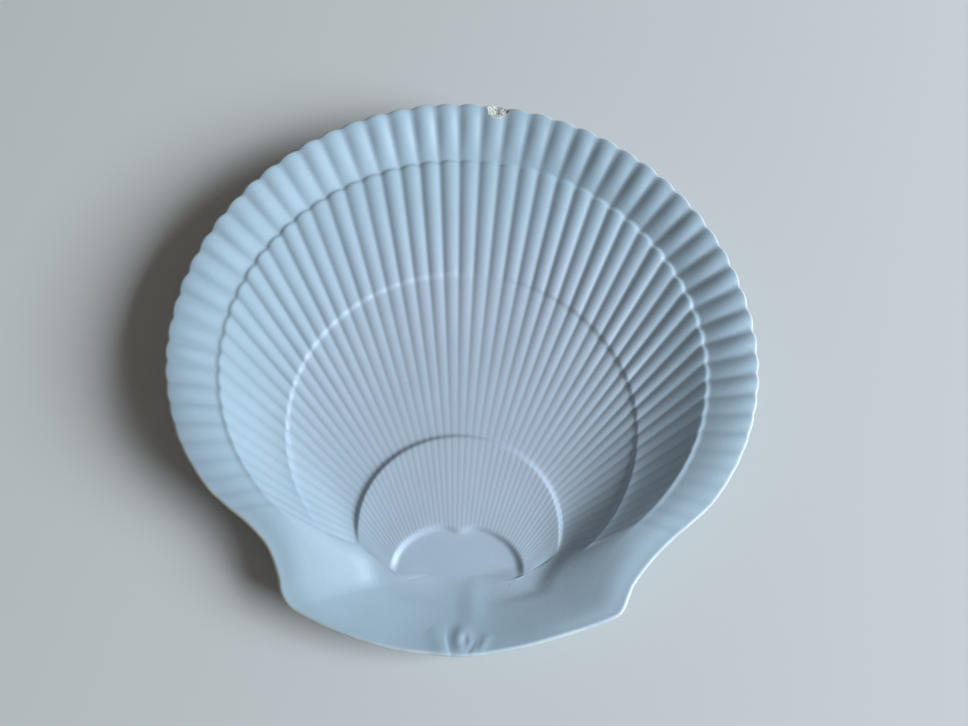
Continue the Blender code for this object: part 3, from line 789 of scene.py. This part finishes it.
class Nodes:
    """Short names for the nodes that the materials are made of."""

    def __init__(self, name):
        self.material = bpy.data.materials.new(name)
        self.material.use_nodes = True
        self.tree = self.material.node_tree
        self.shader = self.tree.nodes["Principled BSDF"]

    def add(self, kind, links=(), **values):
        node = self.tree.nodes.new("ShaderNode" + kind)
        for name, value in values.items():
            setattr(node, name, value)
        for socket, source in dict(links).items():
            self.put(node.inputs[socket], source)
        return node

    def put(self, socket, source):
        if isinstance(source, bpy.types.NodeSocket):
            self.tree.links.new(source, socket)
        else:
            socket.default_value = source

    def noise(self, pattern, place):
        scale, detail = pattern
        links = {"Vector": place, "Scale": scale, "Detail": detail}
        return self.add("TexNoise", links).outputs["Fac"]

    def ramp(self, factor, stops):
        node = self.add("ValToRGB", {"Fac": factor})
        elements = node.color_ramp.elements
        while len(elements) < len(stops):
            elements.new(0.5)
        for element, (position, colour) in zip(elements, stops):
            element.position = position
            element.color = with_alpha(colour)
        return node.outputs["Color"]

    def mix(self, factor, first, second, blend="MIX"):
        node = self.add("Mix", data_type="RGBA", blend_type=blend)
        for index, source in zip(MIX_INPUTS, (factor, first, second)):
            value = with_alpha(source) if isinstance(source, tuple) else source
            self.put(node.inputs[index], value)
        return node.outputs[MIX_OUTPUT]

    def math(self, operation, first, second):
        node = self.add("Math", operation=operation)
        self.put(node.inputs[0], first)
        self.put(node.inputs[1], second)
        return node.outputs[0]

    def bump(self, height, distance, strength):
        node = self.add("Bump", {"Height": height, "Distance": distance, "Strength": strength})
        self.tree.links.new(node.outputs["Normal"], self.shader.inputs["Normal"])


def pinholes(nodes, place):
    """Small dark dots in a few of the cells of a pattern."""
    links = {"Vector": place, "Scale": PINHOLE_CELLS, "Randomness": 1.0}
    cells = nodes.add("TexVoronoi", links).outputs
    near = nodes.ramp(cells["Distance"], PINHOLE_STOPS)
    chance = nodes.add("SeparateColor", {"Color": cells["Color"]}).outputs["Red"]
    return nodes.math("MULTIPLY", near, nodes.ramp(chance, PINHOLE_CHANCE))


def glaze_material():
    """Satin glaze: bluer at the rim, cloudy, darker in the rib valleys with pooled glaze and
    painted shade, and with a lip line that is tan worn clay on the left and a painted highlight
    elsewhere.
    """
    nodes = Nodes("satin_glaze")
    place = nodes.add("TexCoord").outputs["Object"]
    layer = nodes.add("Attribute", attribute_name="marks").outputs["Color"]
    marks = nodes.add("SeparateColor", {"Color": layer}).outputs

    links = {"Vector": place, "Location": GLAZE_SHIFT}
    centred = nodes.add("Mapping", links).outputs["Vector"]
    reach = nodes.add("VectorMath", {0: centred}, operation="LENGTH").outputs["Value"]
    cloud = nodes.math("MULTIPLY", nodes.noise(CLOUD_PATTERN, place), CLOUD_REACH)
    reach = nodes.math("ADD", reach, cloud)
    colour = nodes.ramp(reach, tuple(zip(GLAZE_SPAN, (GLAZE_CENTRE, GLAZE_RIM))))
    tone = nodes.ramp(nodes.noise(TONE_PATTERN, place), TONE_STOPS)
    colour = nodes.mix(1.0, colour, tone, "MULTIPLY")

    # Rib valleys darker: pooled glaze and painted shade
    pooled_and_shaded = nodes.math("MULTIPLY", marks["Blue"], POOL_AND_SHADE_SHARE)
    colour = nodes.mix(pooled_and_shaded, colour, GLAZE_POOLED_AND_SHADED)
    colour = nodes.mix(pinholes(nodes, place), colour, PINHOLE)

    # The lip line: tan worn clay on the left, a pale painted highlight elsewhere
    wear_and_highlight_patches = nodes.ramp(nodes.noise(WEAR_AND_HIGHLIGHT_PATTERN, place), WEAR_AND_HIGHLIGHT_STOPS)
    wear_and_highlight = nodes.math("MULTIPLY", marks["Red"], wear_and_highlight_patches)
    side = nodes.add("SeparateXYZ", {"Vector": place}).outputs["X"]
    left = nodes.ramp(nodes.math("MULTIPLY", side, CLAY_SIDE_SCALE), CLAY_SIDE_STOPS)
    colour = nodes.mix(wear_and_highlight, colour, nodes.mix(left, LIP_PAINTED_HIGHLIGHT, WORN_CLAY))
    bare = nodes.ramp(marks["Green"], BARE_STOPS)
    colour = nodes.mix(bare, colour, BARE_CLAY)
    nodes.put(nodes.shader.inputs["Base Color"], colour)

    rough = nodes.ramp(nodes.noise(GLOSS_PATTERN, place), GLOSS_STOPS)
    rough = nodes.mix(nodes.math("MAXIMUM", wear_and_highlight, bare), rough, WORN_ROUGHNESS)
    nodes.put(nodes.shader.inputs["Roughness"], rough)
    fine, coarse = (nodes.noise(pattern, place) for pattern in (FINE_PATTERN, COARSE_PATTERN))
    nodes.bump(nodes.math("ADD", fine, coarse), *GLAZE_BUMP)
    return nodes.material


def clay_material():
    """The rough broken clay inside the chip."""
    nodes = Nodes("broken_clay")
    place = nodes.add("TexCoord").outputs["Object"]
    grain = nodes.noise(GRAIN_PATTERN, place)
    colour = nodes.ramp(grain, tuple(zip(GRAIN_SPAN, (CHIP_DARK, CHIP_PALE))))
    nodes.put(nodes.shader.inputs["Base Color"], colour)
    nodes.put(nodes.shader.inputs["Roughness"], nodes.ramp(grain, GRAIN_ROUGHNESS))
    nodes.bump(grain, *GRAIN_BUMP)
    return nodes.material


def chip_tool(dish, shift, clay):
    """A rough lump that bites into the far lip."""
    nearest = np.argmin(np.linalg.norm(dish.edge - CHIP_PLACE, axis=1))
    height = dish.height(LIP)[nearest] + CHIP_SIZE[2] * CHIP_LIFT
    bm = bmesh.new()
    bmesh.ops.create_icosphere(bm, subdivisions=CHIP_SUBDIVISIONS, radius=1.0)
    for vert in bm.verts:
        vert.co *= 1.0 + sum(share * noise.noise(vert.co * scale + Vector(offset))
                             for scale, share, offset in CHIP_ROUGHNESS)
    place = Matrix.Translation(Vector((*CHIP_PLACE, height)) + shift)
    bmesh.ops.transform(bm, matrix=place @ Matrix.Diagonal((*CHIP_SIZE, 1.0)), verts=bm.verts)
    mesh = bpy.data.meshes.new("chip")
    bm.to_mesh(mesh)
    bm.free()
    mesh.materials.append(clay)
    mesh.shade_smooth()
    return bpy.data.objects.new("chip", mesh)


def place_camera(shift):
    """The camera looks so that the plumb line through it meets its pixel, and is then
    turned about that line."""
    plumb = np.array([(PLUMB_PIXEL[0] - IMAGE[0] / 2) / FOCAL_PIXELS,
                      (PLUMB_PIXEL[1] - IMAGE[1] / 2) / FOCAL_PIXELS, 1.0])
    plumb /= np.linalg.norm(plumb)
    right = np.array([1.0, 0.0, 0.0]) - plumb[0] * plumb
    right /= np.linalg.norm(right)
    ahead = np.cross(right, plumb)
    ahead = -ahead if ahead[1] > 0 else ahead
    cosine, sine = math.cos(CAMERA_TURN), math.sin(CAMERA_TURN)
    axes = np.array([cosine * right - sine * ahead, sine * right + cosine * ahead, -plumb])
    data = bpy.data.cameras.new("camera")
    data.sensor_fit = "HORIZONTAL"
    data.sensor_width = SENSOR_WIDTH
    data.lens = FOCAL_PIXELS * SENSOR_WIDTH / IMAGE[0]
    data.clip_start, data.clip_end = CLIP_SPAN
    camera = bpy.data.objects.new("camera", data)
    bpy.context.scene.collection.objects.link(camera)
    turn = Matrix(np.column_stack([axes[:, 0], -axes[:, 1], -axes[:, 2]]).tolist())
    place = Matrix.Translation(Vector(CAMERA_PLACE) + shift)
    camera.matrix_world = place @ turn.to_4x4()
    bpy.context.scene.camera = camera


def place_world():
    world = bpy.data.worlds.new("studio")
    bpy.context.scene.world = world
    world.use_nodes = True
    tree = world.node_tree
    fill = tree.nodes["Background"]
    fill.inputs["Color"].default_value = with_alpha(FILL_COLOUR)
    fill.inputs["Strength"].default_value = FILL_STRENGTH
    seen = tree.nodes.new("ShaderNodeBackground")
    seen.inputs["Color"].default_value = with_alpha(BACKGROUND)
    rays = tree.nodes.new("ShaderNodeLightPath")
    shown = rays.outputs["Is Camera Ray"]
    for name in ("Is Glossy Ray", "Is Transmission Ray"):
        either = tree.nodes.new("ShaderNodeMath")
        either.operation = "MAXIMUM"
        tree.links.new(shown, either.inputs[0])
        tree.links.new(rays.outputs[name], either.inputs[1])
        shown = either.outputs[0]
    blend = tree.nodes.new("ShaderNodeMixShader")
    tree.links.new(shown, blend.inputs[0])
    tree.links.new(fill.outputs[0], blend.inputs[1])
    tree.links.new(seen.outputs[0], blend.inputs[2])
    tree.links.new(blend.outputs[0], tree.nodes["World Output"].inputs["Surface"])


def place_window():
    data = bpy.data.lights.new("window", "AREA")
    data.shape = "RECTANGLE"
    data.size, data.size_y = WINDOW_SIZE
    data.energy = WINDOW_POWER
    data.color = WINDOW_COLOUR
    lamp = bpy.data.objects.new("window", data)
    bpy.context.scene.collection.objects.link(lamp)
    level = math.cos(WINDOW_ELEVATION)
    way = Vector((math.sin(WINDOW_AZIMUTH) * level, math.cos(WINDOW_AZIMUTH) * level,
                  math.sin(WINDOW_ELEVATION)))
    lamp.location = way * WINDOW_DISTANCE
    lamp.rotation_euler = way.to_track_quat("Z", "Y").to_euler()


def place_floor():
    bm = bmesh.new()
    bmesh.ops.create_grid(bm, x_segments=1, y_segments=1, size=FLOOR_SIZE)
    mesh = bpy.data.meshes.new("floor")
    bm.to_mesh(mesh)
    bm.free()
    floor = bpy.data.objects.new("floor", mesh)
    floor.location.z = -FLOOR_DROP
    bpy.context.scene.collection.objects.link(floor)
    material = bpy.data.materials.new("floor")
    material.use_nodes = True
    shader = material.node_tree.nodes["Principled BSDF"]
    shader.inputs["Base Color"].default_value = with_alpha(FLOOR_GREY)
    shader.inputs["Roughness"].default_value = FLOOR_ROUGHNESS
    mesh.materials.append(material)


def chipped(body, tool):
    """A mesh of the body with the tool cut out of it, in the tool's material."""
    for piece in (body, tool):
        bpy.context.scene.collection.objects.link(piece)
    cut = body.modifiers.new("chip", "BOOLEAN")
    cut.operation = "DIFFERENCE"
    cut.solver = "EXACT"
    cut.material_mode = "TRANSFER"
    cut.object = tool
    bpy.context.view_layer.update()
    cut_body = body.evaluated_get(bpy.context.evaluated_depsgraph_get())
    mesh = bpy.data.meshes.new_from_object(cut_body)
    for piece in (body, tool):
        bpy.data.objects.remove(piece)
    return mesh


def build():
    """Makes the platter and gives back how far it is moved to stand in the frame."""
    dish = Dish(Spokes(SAMPLES_PER_RIB, HINGE_STEPS, HINGE_CROWDING))
    mesh = dish_mesh(dish)
    corners = np.array([vert.co for vert in mesh.vertices])
    low, high = corners.min(axis=0), corners.max(axis=0)
    middle = (low + high) / 2.0
    shift = Vector((-middle[0], -middle[1], -low[2]))
    mesh.transform(Matrix.Translation(shift))
    mesh.materials.append(glaze_material())
    body = bpy.data.objects.new("body", mesh)
    mesh = chipped(body, chip_tool(dish, shift, clay_material()))
    mesh.shade_smooth()
    shell = bpy.data.objects.new("shell", mesh)
    bpy.context.scene.collection.objects.link(shell)
    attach(shell, "root")
    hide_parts(NODE)
    print("triangles", sum(len(face.vertices) - 2 for face in mesh.polygons))
    return shift


bpy.context.scene.view_settings.view_transform = "Standard"
place_world()
place_window()
place_floor()
place_camera(build())
